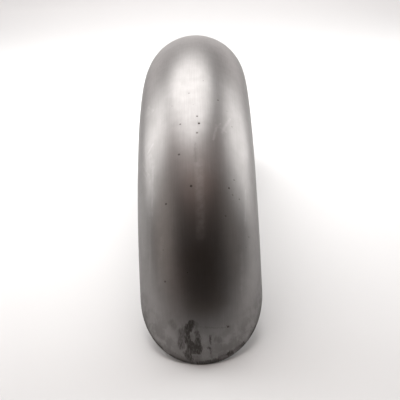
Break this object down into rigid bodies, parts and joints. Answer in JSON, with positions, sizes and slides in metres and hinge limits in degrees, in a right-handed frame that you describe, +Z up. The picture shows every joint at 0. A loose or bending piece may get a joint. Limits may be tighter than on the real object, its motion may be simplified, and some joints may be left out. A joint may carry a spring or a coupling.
{
  "type": "motorcycle rear fender",
  "caption": "Full-round rear fender pressed from bare sheet steel, with a half-round crown, straight skirts, a raked tail and a square front end.",
  "frame": {"origin": "middle of the bounding box on the floor that the two ends stand on, on the fender's middle plane", "axes": "+X across the fender to its right side, seen from behind the tail; +Y from the tail towards the front end; +Z up to the top of the arch. The wheel's axis runs along X, 60.8 mm below the origin."},
  "size_m": [0.15, 0.6892, 0.2892],
  "materials": {
    "bare_steel": "bare unpainted pressed steel, satin, with fine scratches, small dark pits and dark stains at the tail"
  },
  "bodies": {
    "root": {"fender": "bare_steel"}
  },
  "joints": []
}
